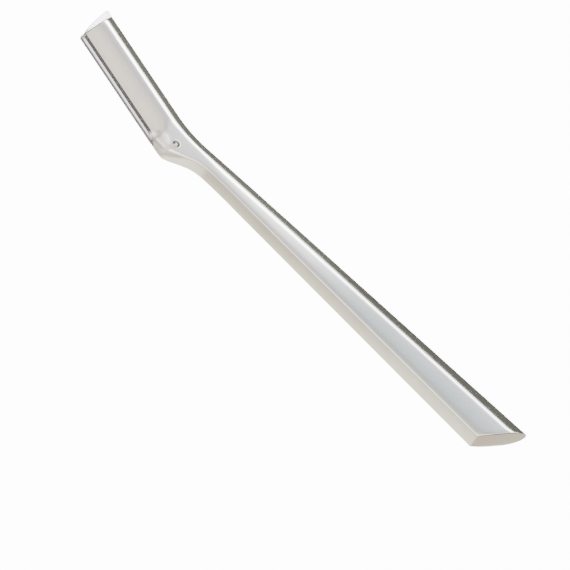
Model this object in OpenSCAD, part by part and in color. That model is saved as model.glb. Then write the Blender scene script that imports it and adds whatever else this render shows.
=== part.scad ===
// Eyebrow razor: a bent, tapering steel handle with a blade cartridge that slides out at the tip of the head.
// The front face is flat and faces up, the spine is on the +Y side and the blade on the -Y side.
// Outlines are measured from the detent, with the handle along +X and the head bent away from it.

/* [Handle] */
// Distance from the detent to the tip of the butt
handle_len = 109.3; // [90:0.1:130]
// Thickness of the body at the head and the neck
neck_thick = 4.4; // [4.2:0.1:5]
// Thickness of the body where the even taper starts
taper_thick = 4.55; // [4.3:0.05:5.2]
// Thickness of the blade-side wall at the butt
butt_thick = 5.55; // [4.8:0.05:6.5]
// Distance from the handle's axis to the spine at the neck
neck_spine = 6.61; // [6:0.01:7.5]
// Distance from the handle's axis to the spine at the butt
butt_spine = 7.32; // [6.5:0.01:9]
// Distance from the handle's axis to the blade-side wall at the butt
butt_wall = 4.95; // [3.5:0.05:6]
// Distance from the detent to the narrowest place of the handle
waist_at = 9.8; // [9:0.1:13]
// How far the wall at the waist lies on the spine side of the handle's axis
waist_wall = 0.5; // [0.1:0.05:1.2]
// Distance from the detent to where the even taper starts
taper_at = 14.4; // [14:0.1:20]
// Width of the flat strip along the back, which the razor rests on
back_flat = 2.6; // [1:0.1:3]
// Angle of the oblique end cut, from square
butt_cut_angle = 35; // [15:1:45]
// Half width of the rounded spine at the neck
neck_nose = 3.2; // [2.4:0.05:3.5]
// Half width of the rounded spine at the butt
butt_nose = 4.6; // [3.2:0.05:5.2]

/* [Head] */
// Angle of the head to the handle, seen from the front
bend = 17; // [10:0.5:22]
// Radius of the bend along the handle's axis
bend_r = 45; // [36:1:55]
// Distance from the detent to the end of the head
head_len = 35.8; // [30:0.1:42]
// Slant of the end of the head, from square
toe_slant = 7.8; // [0:0.1:10]
// Distance from the head's axis to the spine
head_spine = 6.28; // [5.7:0.02:6.6]
// Half width of the rounded spine of the head
head_nose = 3.3; // [2.4:0.05:3.5]
// Distance from the head's axis to the lip that the blade stands out of
lip_reach = 3.46; // [3.3:0.02:4]
// Distance from the head's axis to the rounded heel
heel_reach = 4.55; // [4.3:0.05:5]
// How far the front and the back of the head fall from the spine to the lip
lip_drop = 0.95; // [0.6:0.05:1.05]

/* [Blade] */
// Length of the blade
blade_len = 32.9; // [28:0.1:33.5]
// Thickness of the blade
blade_thick = 0.25; // [0.15:0.01:0.35]
// How far the cutting edge stands out of the lip
blade_reach = 1.31; // [0.8:0.05:1.8]
// Width of the ground bevel
bevel_w = 0.5; // [0.3:0.05:0.7]
// Thickness left at the cutting edge
edge_thick = 0.03; // [0.02:0.01:0.05]
// Length cut off the toe corner of the blade
toe_chamfer = 0.7; // [0.3:0.05:1]

/* [Cartridge] */
// Thickness of the plastic rail
rail_thick = 1.3; // [1.1:0.05:1.5]
// Clearance of the cartridge in the head, all round
slide_gap = 0.1; // [0.06:0.01:0.15]
// Height of the domed cap over the end of the head
cap_h = 2.1; // [1.5:0.1:2.8]
// Diameter of the pins through the rail and the blade
pin_d = 1.1; // [0.8:0.05:1.3]
// Number of pins
pin_count = 3; // [2:1:4]

/* [Detent] */
// Diameter of the ball
ball_d = 1.2; // [1:0.02:1.3]
// Diameter of the domed plug
plug_d = 1.9; // [1.8:0.05:2.2]
// Diameter of the countersink round the plug
sink_d = 2.9; // [2.6:0.05:3.4]
// Wire diameter of the spring
wire_d = 0.15; // [0.12:0.01:0.17]
// Number of turns of the spring
spring_turns = 2.5; // [2:0.5:3]

/* [Hidden] */

// Overrun of every cut past the surface that it opens
overrun = 2;
// Height of the raised form over the front plane, which the flat front face is cut from
crown = 0.06;
// Clearance of pieces that are fixed together
fixed_gap = 0.01;
// Clearance of the pins in their holes
pin_gap = 0.02;

// Blade-side wall: place along the neck and share of the step from the heel to the waist
neck_place_shares = [0.12, 0.255, 0.36, 0.47, 0.61, 0.77];
neck_step_shares = [0.16, 0.38, 0.54, 0.69, 0.84, 0.947];
// How far the wall has come back from the heel beside the detent
heel_turn = 0.1;
// Share of the taper at which the wall already runs straight
taper_share = 0.1;
// How far the wall has moved off the waist where the taper starts
taper_step = 0.08;
// Where the lip starts to run out, and where it reaches the rounded heel
runout_at = 7.5;
heel_at = 3;
// Where the blade-side wall has its full depth again behind the head
full_depth_at = 3;
// Length of the axis that bends, on either side of the detent
bend_run = bend_r * tan(bend / 2);

// Flat front face: run and fall of the rounding between it and the wall
face_end_at = 12;
head_face_run = 6.1;
heel_face_run = 1.1;
heel_face_drop = 1.3;
ridge_run = 0.34;
ridge_drop = 0.1;
ridge_share = 0.5;
ridge_run_share = 0.4;
ridge_drop_share = 0.25;
head_face_angle = 38;
heel_face_angle = 84;
// Rounding between the wall and the back
lip_foot = 0.2;
heel_foot = 1.5;
butt_foot = 0.4;

// Back of the body, as shares of its width and of the wall's thickness
head_apex_share = 0.66;
neck_apex_share = 0.6;
butt_apex_share = 0.5;
neck_belly_share = 1.1;
butt_belly_share = 1.16;
tip_share = 0.5;
tip_pull_share = 0.9;
apex_pull_share = 0.52;
wall_pull_share = 0.5;

// Steps round the section and along the body
face_steps = 6;
nose_steps = 7;
back_steps = 6;
belly_steps = 4;
foot_steps = 3;
head_stations = 4;
neck_stations = 30;
taper_stations = 9;
station_from = 13;
station_to = 17;

wall_line = concat(
  [[-head_len, -lip_reach], [-runout_at, -lip_reach], [-heel_at, -heel_reach], [0, neck_wall(0)]],
  [for (i = [0:len(neck_place_shares) - 1])
    [waist_at * neck_place_shares[i], neck_wall(neck_step_shares[i])]],
  [[waist_at, waist_wall]],
  [for (k = [0, taper_share, 1])
    [taper_at + (handle_len - taper_at) * k, (waist_wall - taper_step) * (1 - k) - butt_wall * k]]
);
spine_line = [
  [-head_len, head_spine], [-bend_run, head_spine], [taper_at, neck_spine], [handle_len, butt_spine]
];
thick_line = [
  [-head_len, neck_thick], [0, neck_thick], [taper_at, taper_thick], [handle_len, butt_thick]
];
nose_line = [
  [-head_len, head_nose], [-bend_run, head_nose], [taper_at, neck_nose], [handle_len, butt_nose]
];
run_line = [
  [-head_len, head_face_run], [-face_end_at, head_face_run], [0, heel_face_run],
  [waist_at * ridge_share, heel_face_run * ridge_run_share], [waist_at, ridge_run],
  [handle_len, ridge_run]
];
drop_line = [
  [-head_len, lip_drop], [-runout_at, lip_drop], [0, heel_face_drop],
  [waist_at * ridge_share, heel_face_drop * ridge_drop_share], [waist_at, ridge_drop],
  [handle_len, ridge_drop]
];
angle_line = [
  [-head_len, head_face_angle], [-runout_at, head_face_angle],
  [0, heel_face_angle], [handle_len, heel_face_angle]
];
foot_line = [
  [-head_len, lip_foot], [-runout_at, lip_foot], [-heel_at, heel_foot],
  [waist_at, butt_foot], [handle_len, butt_foot]
];
lip_depth_share = (neck_thick - lip_drop) / neck_thick;
apex_line = [
  [-head_len, head_apex_share], [-runout_at, head_apex_share], [taper_at, neck_apex_share],
  [handle_len, butt_apex_share]
];
belly_line = [[-head_len, 1], [-runout_at, 1], [taper_at, neck_belly_share], [handle_len, butt_belly_share]];
depth_line = [
  [-head_len, lip_depth_share], [-runout_at, lip_depth_share], [full_depth_at, 1], [handle_len, 1]
];

// Wall's offset at a share of the step from the heel to the waist
function neck_wall(share) = (heel_turn - heel_reach) * (1 - share) + waist_wall * share;

// Smooth reading of a table of places and values, which never swings past its own points
function rise(line, i) = (line[i + 1][1] - line[i][1]) / (line[i + 1][0] - line[i][0]);
function tangent(line, i) =
  i == 0 ? rise(line, 0)
  : i == len(line) - 1 ? rise(line, i - 1)
  : let (before = rise(line, i - 1), after = rise(line, i))
    before * after <= 0 ? 0 : 2 * before * after / (before + after);
function segment(line, s, i = 0) =
  i >= len(line) - 2 || s <= line[i + 1][0] ? i : segment(line, s, i + 1);
function along(line, s) =
  let (i = segment(line, s), span = line[i + 1][0] - line[i][0], t = (s - line[i][0]) / span)
  t < 0 ? line[0][1] + tangent(line, 0) * (s - line[0][0])
  : t > 1 ? line[i + 1][1] + tangent(line, i + 1) * (s - line[i + 1][0])
  : let (m0 = tangent(line, i) * span, m1 = tangent(line, i + 1) * span, v0 = line[i][1], v1 = line[i + 1][1])
    v0 + m0 * t + (3 * (v1 - v0) - 2 * m0 - m1) * t * t + (m0 + m1 - 2 * (v1 - v0)) * t * t * t;

function bezier3(a, b, c, d, t) =
  a * (1 - t) ^ 3 + 3 * b * t * (1 - t) ^ 2 + 3 * c * t ^ 2 * (1 - t) + d * t ^ 3;
function bezier2(a, b, c, t) = a * (1 - t) ^ 2 + 2 * b * t * (1 - t) + c * t ^ 2;

// Outline of the body square to its axis: [offset towards the spine, height over the front plane]
function section(s) =
  let (
    wall = along(wall_line, s), tip = along(spine_line, s), thick = along(thick_line, s),
    nose = along(nose_line, s), width = tip - wall, foot = along(foot_line, s),
    run = along(run_line, s), drop = along(drop_line, s) + crown, turn = along(angle_line, s),
    floor_z = -thick * along(depth_line, s), belly_z = -thick * along(belly_line, s),
    apex = wall + width * along(apex_line, s), high = apex + back_flat / 2, low = apex - back_flat / 2
  )
  concat(
    [for (i = [0:face_steps]) let (g = turn * (1 - i / face_steps))
      [wall + run * (1 - sin(g) / sin(turn)), crown - drop * (1 - cos(g)) / (1 - cos(turn))]],
    [for (i = [0:nose_steps]) let (g = 90 * (1 - i / nose_steps))
      [tip - nose + nose * cos(g), -thick * tip_share + (thick * tip_share + crown) * sin(g)]],
    [for (i = [1:back_steps]) bezier3(
      [tip, -thick * tip_share], [tip, -thick * tip_pull_share],
      [high + (tip - high) * apex_pull_share, belly_z], [high, belly_z], i / back_steps)],
    [for (i = [0:belly_steps]) bezier2(
      [low, belly_z], [wall + foot + (low - wall - foot) * wall_pull_share, belly_z],
      [wall + foot, floor_z], i / belly_steps)],
    [for (i = [1:foot_steps]) let (g = 90 * i / foot_steps)
      [wall + foot - foot * sin(g), floor_z + foot - foot * cos(g)]]
  );

// Place and direction of the body's axis
function turn_at(s) =
  s <= -bend_run ? -bend : s >= bend_run ? 0 : -bend * (bend_run - s) / (2 * bend_run);
function axis_at(s) =
  s <= -bend_run ? [s * cos(bend), -s * sin(bend)]
  : s >= bend_run ? [s, 0]
  : [bend_run + bend_r * sin(turn_at(s)), bend_r - bend_r * cos(turn_at(s))];
function placed(s, p) =
  let (a = axis_at(s), g = turn_at(s)) [a[0] - p[0] * sin(g), a[1] + p[0] * cos(g), p[1]];
function ring(s) = [for (p = section(s)) placed(s, p)];

stations = concat(
  [for (i = [0:head_stations - 1])
    -head_len - overrun + (head_len + overrun - station_from) * i / head_stations],
  [for (i = [0:neck_stations - 1]) -station_from + (station_from + station_to) * i / neck_stations],
  [for (i = [0:taper_stations]) station_to + (handle_len + overrun - station_to) * i / taper_stations]
);

// Sides and ends of a body lofted through rings of equal length
function loft_faces(rings, n) = concat(
  [[for (j = [n - 1:-1:0]) j]],
  [for (i = [0:rings - 2]) for (j = [0:n - 1])
    let (a = i * n + j, b = i * n + (j + 1) % n) each [[a, b, b + n], [a, b + n, a + n]]],
  [[for (j = [0:n - 1]) (rings - 1) * n + j]]
);
module loft(rings) {
  points = [for (r = rings) each r];
  polyhedron(points, loft_faces(len(rings), len(rings[0])), convexity = 6);
}

// Cartridge: heights are measured down from the front plane, places along the head's axis
mid_z = -neck_thick / 2;
slot_thick = blade_thick + 2 * slide_gap;
pocket_thick = rail_thick + 2 * slide_gap;
rail_low_z = mid_z - rail_thick / 2;
lip_wall = 1.2;
pocket_low = -lip_reach + lip_wall;
pocket_high = 2;
pocket_end = -2.6;
tongue_w = 2;
tongue_end = 1.2;
tongue_rise_share = 0.15;
tongue_top = mid_z + tongue_rise_share * rail_thick / 2;
cap_root = 0.4;
cap_lean = 17;
cap_apex_share = 0.88;
cap_lip_pull_share = 2.2;
cap_spine_pull_share = 0.14;
cap_side_pull_share = 0.12;
cap_steps = 10;
cap_edge_angle = 84;
cap_gap = 0.05;
blade_heel_at = 2.75;
blade_toe = -blade_heel_at - blade_len;
blade_back = 0.45;
blade_edge = -lip_reach - blade_reach;
heel_chamfer = 0.6;
pin_y = (pocket_low + blade_back) / 2;

// Detent: a ball pushed down by a spring that a domed plug closes in
plug_top = -0.1;
plug_thick = 0.5;
plug_dome = 0.1;
plug_seat = plug_top - plug_thick;
plug_r = plug_d / 2;
sink_r = sink_d / 2;
sink_depth = 0.3;
ball_r = ball_d / 2;
ball_bite = 0.25;
ball_z = tongue_top - ball_bite + ball_r;
ball_gap = 0.05;
bore_r = ball_r + ball_gap;
seat_angle = 25;
seat_r = (ball_r + fixed_gap) / cos(seat_angle);
seat_top = ball_z - (seat_r - bore_r) / tan(seat_angle);
groove_gap = 0.03;
wire_r = wire_d / 2;
coil_r = bore_r - ball_gap - wire_r;
coil_top = plug_seat - wire_r - fixed_gap;
coil_low = ball_z + sqrt((ball_r + wire_r + fixed_gap) ^ 2 - coil_r ^ 2);
wire_sides = 6;
coil_steps = 16;

// Domed cap, as rings that shrink from the end of the head to the dome's top
toe_outline = [for (p = section(-head_len)) [p[0], min(p[1], 0)]];
cap_apex = -lip_reach + (head_spine + lip_reach) * cap_apex_share;
function cap_ring(g) = [for (p = toe_outline)
  let (
    pull = p[0] < cap_apex ? cap_lip_pull_share : cap_spine_pull_share,
    lean = cap_h * sin(g) * tan(cap_lean)
  )
  [-cap_gap - cap_h * sin(g), lean + cap_apex + (p[0] - cap_apex) * cos(g) ^ pull,
    mid_z + (p[1] - mid_z) * cos(g) ^ cap_side_pull_share]];
cap_rings = [for (i = [0:cap_steps]) cap_ring(cap_edge_angle * (1 - i / cap_steps))];

// Least and greatest places of the whole razor, which set its origin
function toe_to_body(p) =
  let (x = p[0] * cos(toe_slant) - p[1] * sin(toe_slant) - head_len,
    y = p[0] * sin(toe_slant) + p[1] * cos(toe_slant))
  [x * cos(bend) + y * sin(bend), y * cos(bend) - x * sin(bend), p[2]];
cap_places = [for (r = cap_rings) for (p = r) toe_to_body(p)];
neck_places = [for (s = stations) if (s < taper_at) each ring(s)];
toe_corner = toe_to_body([0, head_spine / cos(toe_slant), 0]);
wall_cut_at = handle_len - (butt_spine + butt_wall) * tan(butt_cut_angle);
belly_cut_y = (butt_spine + butt_wall) * butt_apex_share - butt_wall + back_flat / 2;
belly_cut_at = handle_len - (butt_spine - belly_cut_y) * tan(butt_cut_angle);
x_low = min([for (p = cap_places) p[0]]);
y_low = min(along(wall_line, wall_cut_at), min([for (p = neck_places) p[1]]));
y_high = max(toe_corner[1], max([for (p = cap_places) p[1]]));
z_low = -along(thick_line, belly_cut_at) * along(belly_line, belly_cut_at);
reach = 2 * handle_len;

$fn = 48;

module shifted() {
  translate([-(x_low + handle_len) / 2, -(y_low + y_high) / 2, -z_low]) children();
}
module in_head() {
  shifted() rotate([0, 0, -bend]) children();
}
module at_toe() {
  rotate([0, 0, -bend]) translate([-head_len, 0, 0]) rotate([0, 0, toe_slant]) children();
}

// Box between two corners
module block(low, high) {
  translate(low) cube(high - low);
}

// Everything in front of the flat front face, past the oblique end and past the end of the head
module outer_cuts() {
  block([-reach, -reach, 0], [reach, reach, overrun]);
  translate([handle_len, butt_spine, 0]) rotate([0, 0, -butt_cut_angle])
    block([0, -reach, -reach], [reach, reach, reach]);
  at_toe() block([-reach, -reach, -reach], [0, reach, reach]);
}

// Space of the rail, the slot that the blade stands out of, and the channel under the ball
module cartridge_space() {
  rotate([0, 0, -bend]) {
    block([-head_len - overrun, pocket_low, mid_z - pocket_thick / 2],
      [pocket_end, pocket_high, mid_z + pocket_thick / 2]);
    block([-head_len - overrun, -heel_reach - overrun, mid_z - slot_thick / 2],
      [pocket_end, pocket_high, mid_z + slot_thick / 2]);
    block([pocket_end - overrun, -tongue_w / 2 - slide_gap, rail_low_z - slide_gap],
      [tongue_end + slide_gap, tongue_w / 2 + slide_gap, tongue_top + slide_gap]);
  }
}

// Countersink, seat of the plug, bore of the spring and the narrowing seat of the ball
module detent_space() {
  sink_slope = (sink_r - plug_r) / sink_depth;
  translate([0, 0, -sink_depth])
    cylinder(h = sink_depth + crown, r1 = plug_r + fixed_gap, r2 = sink_r + sink_slope * crown);
  translate([0, 0, plug_seat]) cylinder(h = crown - plug_seat, r = plug_r + fixed_gap);
  translate([0, 0, seat_top]) cylinder(h = plug_top - seat_top, r = bore_r);
  translate([0, 0, tongue_top])
    cylinder(h = seat_top - tongue_top, r1 = seat_r - (ball_z - tongue_top) * tan(seat_angle), r2 = bore_r);
}

module handle() {
  color("silver") shifted() difference() {
    loft([for (s = stations) ring(s)]);
    outer_cuts();
    cartridge_space();
    detent_space();
  }
}

module detent_plug() {
  dome_r = (plug_r ^ 2 + plug_dome ^ 2) / (2 * plug_dome);
  color("gainsboro") shifted() intersection() {
    translate([0, 0, plug_seat]) cylinder(h = plug_thick, r = plug_r);
    translate([0, 0, plug_top - dome_r]) sphere(r = dome_r);
  }
}

module detent_spring() {
  turns = spring_turns * coil_steps;
  color("dimgray") shifted() loft([for (i = [0:turns])
    let (g = 360 * i / coil_steps, z = coil_low + (coil_top - coil_low) * i / turns)
    [for (j = [0:wire_sides - 1])
      let (k = -360 * j / wire_sides, r = coil_r + wire_r * cos(k))
      [r * cos(g), r * sin(g), z + wire_r * sin(k)]]]);
}

module detent_ball() {
  color("lightgray") shifted() translate([0, 0, ball_z]) sphere(r = ball_r);
}

// The strip is drawn across its width and run along its length, with both sides ground to the edge
module blade() {
  half = blade_thick / 2;
  tip = edge_thick / 2;
  outline = [
    [blade_edge, -tip], [blade_edge + bevel_w, -half], [blade_back, -half],
    [blade_back, half], [blade_edge + bevel_w, half], [blade_edge, tip]
  ];
  color("whitesmoke") in_head() difference() {
    translate([blade_toe, 0, mid_z]) rotate([90, 0, 90]) linear_extrude(blade_len) polygon(outline);
    corner_cut(blade_toe, toe_chamfer, 1);
    corner_cut(-blade_heel_at, heel_chamfer, -1);
    pin_holes();
  }
}

// Cuts a corner of the edge off at an angle, towards the middle of the blade
module corner_cut(at, size, way) {
  points = [
    [at - way * overrun, blade_edge - overrun], [at + way * (size + overrun), blade_edge - overrun],
    [at + way * size, blade_edge], [at, blade_edge + size], [at - way * overrun, blade_edge + size]
  ];
  translate([0, 0, mid_z - blade_thick]) linear_extrude(2 * blade_thick) polygon(points);
}

module at_pins() {
  for (i = [0:pin_count - 1])
    translate([-blade_heel_at - blade_len * (i + 1 / 2) / pin_count, pin_y, mid_z]) children();
}
module pin_holes() {
  at_pins() cylinder(h = rail_thick + 2 * overrun, r = pin_d / 2 + pin_gap, center = true);
}

module carrier_pins() {
  color("lightsteelblue") in_head() at_pins() cylinder(h = rail_thick, r = pin_d / 2, center = true);
}

// Flat rail from inside the cap to its narrow tongue under the ball
module rail(rail_end) {
  difference() {
    rotate([0, 0, -bend]) {
      block([-head_len - overrun, pocket_low + slide_gap, rail_low_z],
        [rail_end, pocket_high - slide_gap, mid_z + rail_thick / 2]);
      block([rail_end - overrun, -tongue_w / 2, rail_low_z], [tongue_end, tongue_w / 2, tongue_top]);
    }
    at_toe() block([-reach, -reach, -reach], [-cap_root, reach, reach]);
  }
}

module blade_carrier() {
  rail_end = pocket_end - slide_gap;
  slit = blade_thick / 2 + fixed_gap;
  color("white") shifted() difference() {
    union() {
      at_toe() loft(cap_rings);
      rail(rail_end);
    }
    rotate([0, 0, -bend]) {
      block([blade_toe - fixed_gap, blade_edge - overrun, mid_z - slit],
        [-blade_heel_at + fixed_gap, blade_back + fixed_gap, mid_z + slit]);
      pin_holes();
      block([0, -ball_r - slide_gap, ball_z - ball_r - groove_gap],
        [tongue_end + overrun, ball_r + slide_gap, mid_z + overrun]);
    }
    translate([0, 0, ball_z]) sphere(r = ball_r + slide_gap);
  }
}

handle();
detent_plug();
detent_spring();
detent_ball();
blade();
blade_carrier();
carrier_pins();
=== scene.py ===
"""Eyebrow razor: a bent steel handle and its blade cartridge, finished and set in a soft studio."""
import math
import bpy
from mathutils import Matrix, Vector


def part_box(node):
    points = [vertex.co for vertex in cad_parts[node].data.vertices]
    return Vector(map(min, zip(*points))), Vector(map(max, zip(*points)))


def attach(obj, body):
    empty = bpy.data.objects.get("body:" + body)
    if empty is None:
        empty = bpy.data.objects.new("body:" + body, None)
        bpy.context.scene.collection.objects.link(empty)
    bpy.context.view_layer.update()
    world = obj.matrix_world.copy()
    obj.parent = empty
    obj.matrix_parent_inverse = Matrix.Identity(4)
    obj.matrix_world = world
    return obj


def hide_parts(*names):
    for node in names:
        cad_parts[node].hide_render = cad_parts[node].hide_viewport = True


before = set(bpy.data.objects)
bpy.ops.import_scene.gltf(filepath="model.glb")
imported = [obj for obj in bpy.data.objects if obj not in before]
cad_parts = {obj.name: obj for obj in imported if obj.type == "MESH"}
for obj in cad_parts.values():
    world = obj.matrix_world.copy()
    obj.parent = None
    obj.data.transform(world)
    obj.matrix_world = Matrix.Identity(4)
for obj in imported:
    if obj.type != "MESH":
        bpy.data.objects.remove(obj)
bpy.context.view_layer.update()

from types import SimpleNamespace

import bmesh
import bpy
import numpy as np
from bpy.props import FloatProperty, FloatVectorProperty, PointerProperty
from mathutils import Matrix, Vector

bl_info = {
    "name": "Eyebrow Razor",
    "version": (1, 0, 0),
    "blender": (4, 5, 0),
    "location": "View3D > Sidebar > Razor",
    "description": "Builds a steel eyebrow razor with a slide-out cartridge, in a soft studio",
    "category": "Add Mesh",
}

MM = 0.001


# Sizes and colours that a user would change

def length(name, mm, description):
    """A length, given in millimetres and kept in metres."""
    return FloatProperty(name=name, description=description, default=mm * MM, min=0.0,
                         precision=5, subtype="DISTANCE", unit="LENGTH")


def angle(name, degrees, description):
    """An angle, given in degrees and kept in radians."""
    return FloatProperty(name=name, description=description, default=math.radians(degrees),
                         subtype="ANGLE", unit="ROTATION")


def tint(name, rgb, description):
    """A colour, as linear red, green and blue."""
    return FloatVectorProperty(name=name, description=description, default=rgb, size=3,
                               min=0.0, max=1.0, subtype="COLOR")


def share(name, value, description):
    """A plain share or strength."""
    return FloatProperty(name=name, description=description, default=value, min=0.0, subtype="FACTOR")


class RazorSizes(bpy.types.PropertyGroup):
    """Real sizes of the razor, measured from the detent."""
    handle_len: length("Handle length", 109.3, "From the detent to the tip of the butt")
    neck_thick: length("Neck thickness", 4.4, "Thickness of the head and the neck")
    taper_thick: length("Taper thickness", 4.55, "Thickness where the even taper starts")
    butt_thick: length("Butt thickness", 5.55, "Thickness of the blade-side wall at the butt")
    neck_spine: length("Neck spine", 6.61, "From the handle's axis to the spine at the neck")
    butt_spine: length("Butt spine", 7.32, "From the handle's axis to the spine at the butt")
    butt_wall: length("Butt wall", 4.95, "From the handle's axis to the blade-side wall at the butt")
    waist_at: length("Waist place", 9.8, "From the detent to the narrowest place")
    waist_wall: length("Waist wall", 0.5, "How far the wall at the waist lies on the spine side")
    taper_at: length("Taper place", 14.4, "From the detent to where the even taper starts")
    back_flat: length("Back strip", 2.6, "Width of the flat strip along the back")
    butt_cut_angle: angle("Butt slant", 35, "Slant of the oblique end, from square")
    neck_nose: length("Neck nose", 3.2, "Half width of the rounded spine at the neck")
    butt_nose: length("Butt nose", 4.6, "Half width of the rounded spine at the butt")
    bend: angle("Bend", 17, "Angle of the head to the handle")
    bend_r: length("Bend radius", 45, "Radius of the bend along the axis")
    head_len: length("Head length", 35.8, "From the detent to the end of the head")
    toe_slant: angle("Toe slant", 7.8, "Slant of the end of the head, from square")
    head_spine: length("Head spine", 6.28, "From the head's axis to the spine")
    head_nose: length("Head nose", 3.3, "Half width of the rounded spine of the head")
    lip_reach: length("Lip reach", 3.46, "From the head's axis to the lip over the blade")
    heel_reach: length("Heel reach", 4.55, "From the head's axis to the rounded heel")
    lip_drop: length("Lip drop", 0.95, "How far the head's faces fall towards the lip")
    end_round: length("End rounding", 0.24, "Rounding round both ends of the handle")
    blade_len: length("Blade length", 32.9, "Length of the blade")
    blade_thick: length("Blade thickness", 0.25, "Thickness of the blade")
    blade_reach: length("Blade reach", 1.31, "How far the edge stands out of the lip")
    rail_thick: length("Rail thickness", 1.3, "Thickness of the plastic rail")
    slide_gap: length("Slide clearance", 0.1, "Clearance of the cartridge in the head")
    cap_h: length("Cap height", 2.1, "Height of the domed cap over the end of the head")
    pin_d: length("Pin diameter", 1.1, "Diameter of the pins through the rail")
    ball_d: length("Ball diameter", 1.2, "Diameter of the detent ball")
    plug_d: length("Plug diameter", 1.9, "Diameter of the domed plug")


class RazorFinish(bpy.types.PropertyGroup):
    """Colours and finish of the razor's materials."""
    body_tint: tint("Body steel", (0.74, 0.735, 0.72), "Colour of the brushed body")
    body_rough: share("Body roughness", 0.095, "Roughness of the brushed body")
    brush_depth: share("Brushing", 0.05, "Strength of the brushed lines")
    blade_tint: tint("Blade steel", (0.86, 0.85, 0.88), "Colour of the blade")
    plug_tint: tint("Polished steel", (0.5, 0.5, 0.5), "Colour of the plug and the ball")
    spring_tint: tint("Spring steel", (0.33, 0.33, 0.35), "Colour of the spring wire")
    pin_tint: tint("Pin steel", (0.62, 0.62, 0.64), "Colour of the pins")
    plastic_tint: tint("Plastic", (0.93, 0.94, 0.93), "Colour of the translucent plastic")


class RazorStudio(bpy.types.PropertyGroup):
    """Floor, light and camera."""
    floor_tint: tint("Floor", (0.98, 0.98, 0.98), "Colour of the pale floor")
    floor_glow: share("Floor brightness", 14.0, "How bright the floor looks to the camera")
    light: share("Light", 1.0, "Strength of the studio light")
    pixel: length("Pixel", 0.24, "Size of one picture element at the razor")
    distance: length("Camera distance", 3000, "From the camera to the razor")
    tilt: angle("Camera tilt", 5, "How far the camera leans towards the butt")
    roll_down: angle("Camera height", 53, "Height of the camera over the front face's long axis")


# Shares of the body, its small sizes in millimetres and its angles in degrees

OVERRUN = 2
CROWN = 0.06
FIXED_GAP = 0.01
PIN_GAP = 0.02
NECK_PLACE_SHARES = (0.12, 0.255, 0.36, 0.47, 0.61, 0.77)
NECK_STEP_SHARES = (0.16, 0.38, 0.54, 0.69, 0.84, 0.947)
HEEL_TURN = 0.2
TAPER_SHARE = 0.1
TAPER_STEP = 0.08
RUNOUT_AT = 6.5
RUNOUT_STEPS = ((5.4, 0.12), (4.4, 0.5), (3.6, 0.97))
HEEL_FULL_AT = 1.5
HEEL_AT = 3
FULL_DEPTH_AT = 3
HEAD_FACE_RUN = 6.1
RIDGE_RUN, RIDGE_DROP = 0.24, 0.1
RIDGE_TILT, SPINE_TILT = 3.2, 2.0
WALL_BULGE = 0.07
LIP_LEAN = 0.16
HEAD_EDGE, NECK_EDGE, BUTT_EDGE = 1.8, 1.8, 1.3
HEAD_FACE_ANGLE, HEEL_FACE_ANGLE = 38, 84

# Tables along the axis: how wide and deep the face is rounded on the blade side, how far that turns and how
# it eases in, then how the face leans towards the spine and how wide it rolls over there
RUN_STEPS = ((-6.5, 6.1), (-5, 5.4), (-3.4, 4.1), (-1.7, 3.1), (0, 2.3), (2.3, 1.2), (4.2, 0.5))
DROP_STEPS = ((-6.5, 0.95), (-5, 1.2), (-3.4, 1.75), (-1.7, 2.1), (0, 2.2), (2.3, 1.4), (4.2, 0.42))
ANGLE_STEPS = ((-6.5, 38), (-5, 48), (-3.4, 62), (-1.7, 76), (0, 84))
EASE_STEPS = ((-7.5, 1), (-4.5, 1.35), (-1.5, 1.5), (1.5, 1.3), (4.2, 1))
LEAN_STEPS = ((-9, 2), (-3, 0.4), (4, 0.4))
EDGE_STEPS = ((-9, 1.8), (-1, 1.2), (4, 1.1))
LIP_FOOT, HEEL_FOOT, BUTT_FOOT = 0.2, 1.5, 0.4
HEAD_APEX_SHARE, NECK_APEX_SHARE, BUTT_APEX_SHARE = 0.66, 0.6, 0.5
NECK_BELLY_SHARE, BUTT_BELLY_SHARE = 1.1, 1.16
TIP_SHARE, TIP_PULL_SHARE = 0.5, 0.9
APEX_PULL_SHARE, WALL_PULL_SHARE = 0.52, 0.5


def measures():
    """The razor's sizes: lengths in millimetres, angles in radians."""
    props = bpy.context.scene.razor_sizes
    m = SimpleNamespace()
    for key in RazorSizes.__annotations__:
        value = getattr(props, key)
        setattr(m, key, value if props.bl_rna.properties[key].subtype == "ANGLE" else value / MM)
    m.bend_run = m.bend_r * math.tan(m.bend / 2)
    m.mid_z = -m.neck_thick / 2
    m.cut = math.tan(m.butt_cut_angle)
    m.slant = math.tan(m.toe_slant)
    add_lines(m)
    add_fits(m)
    return m


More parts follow.
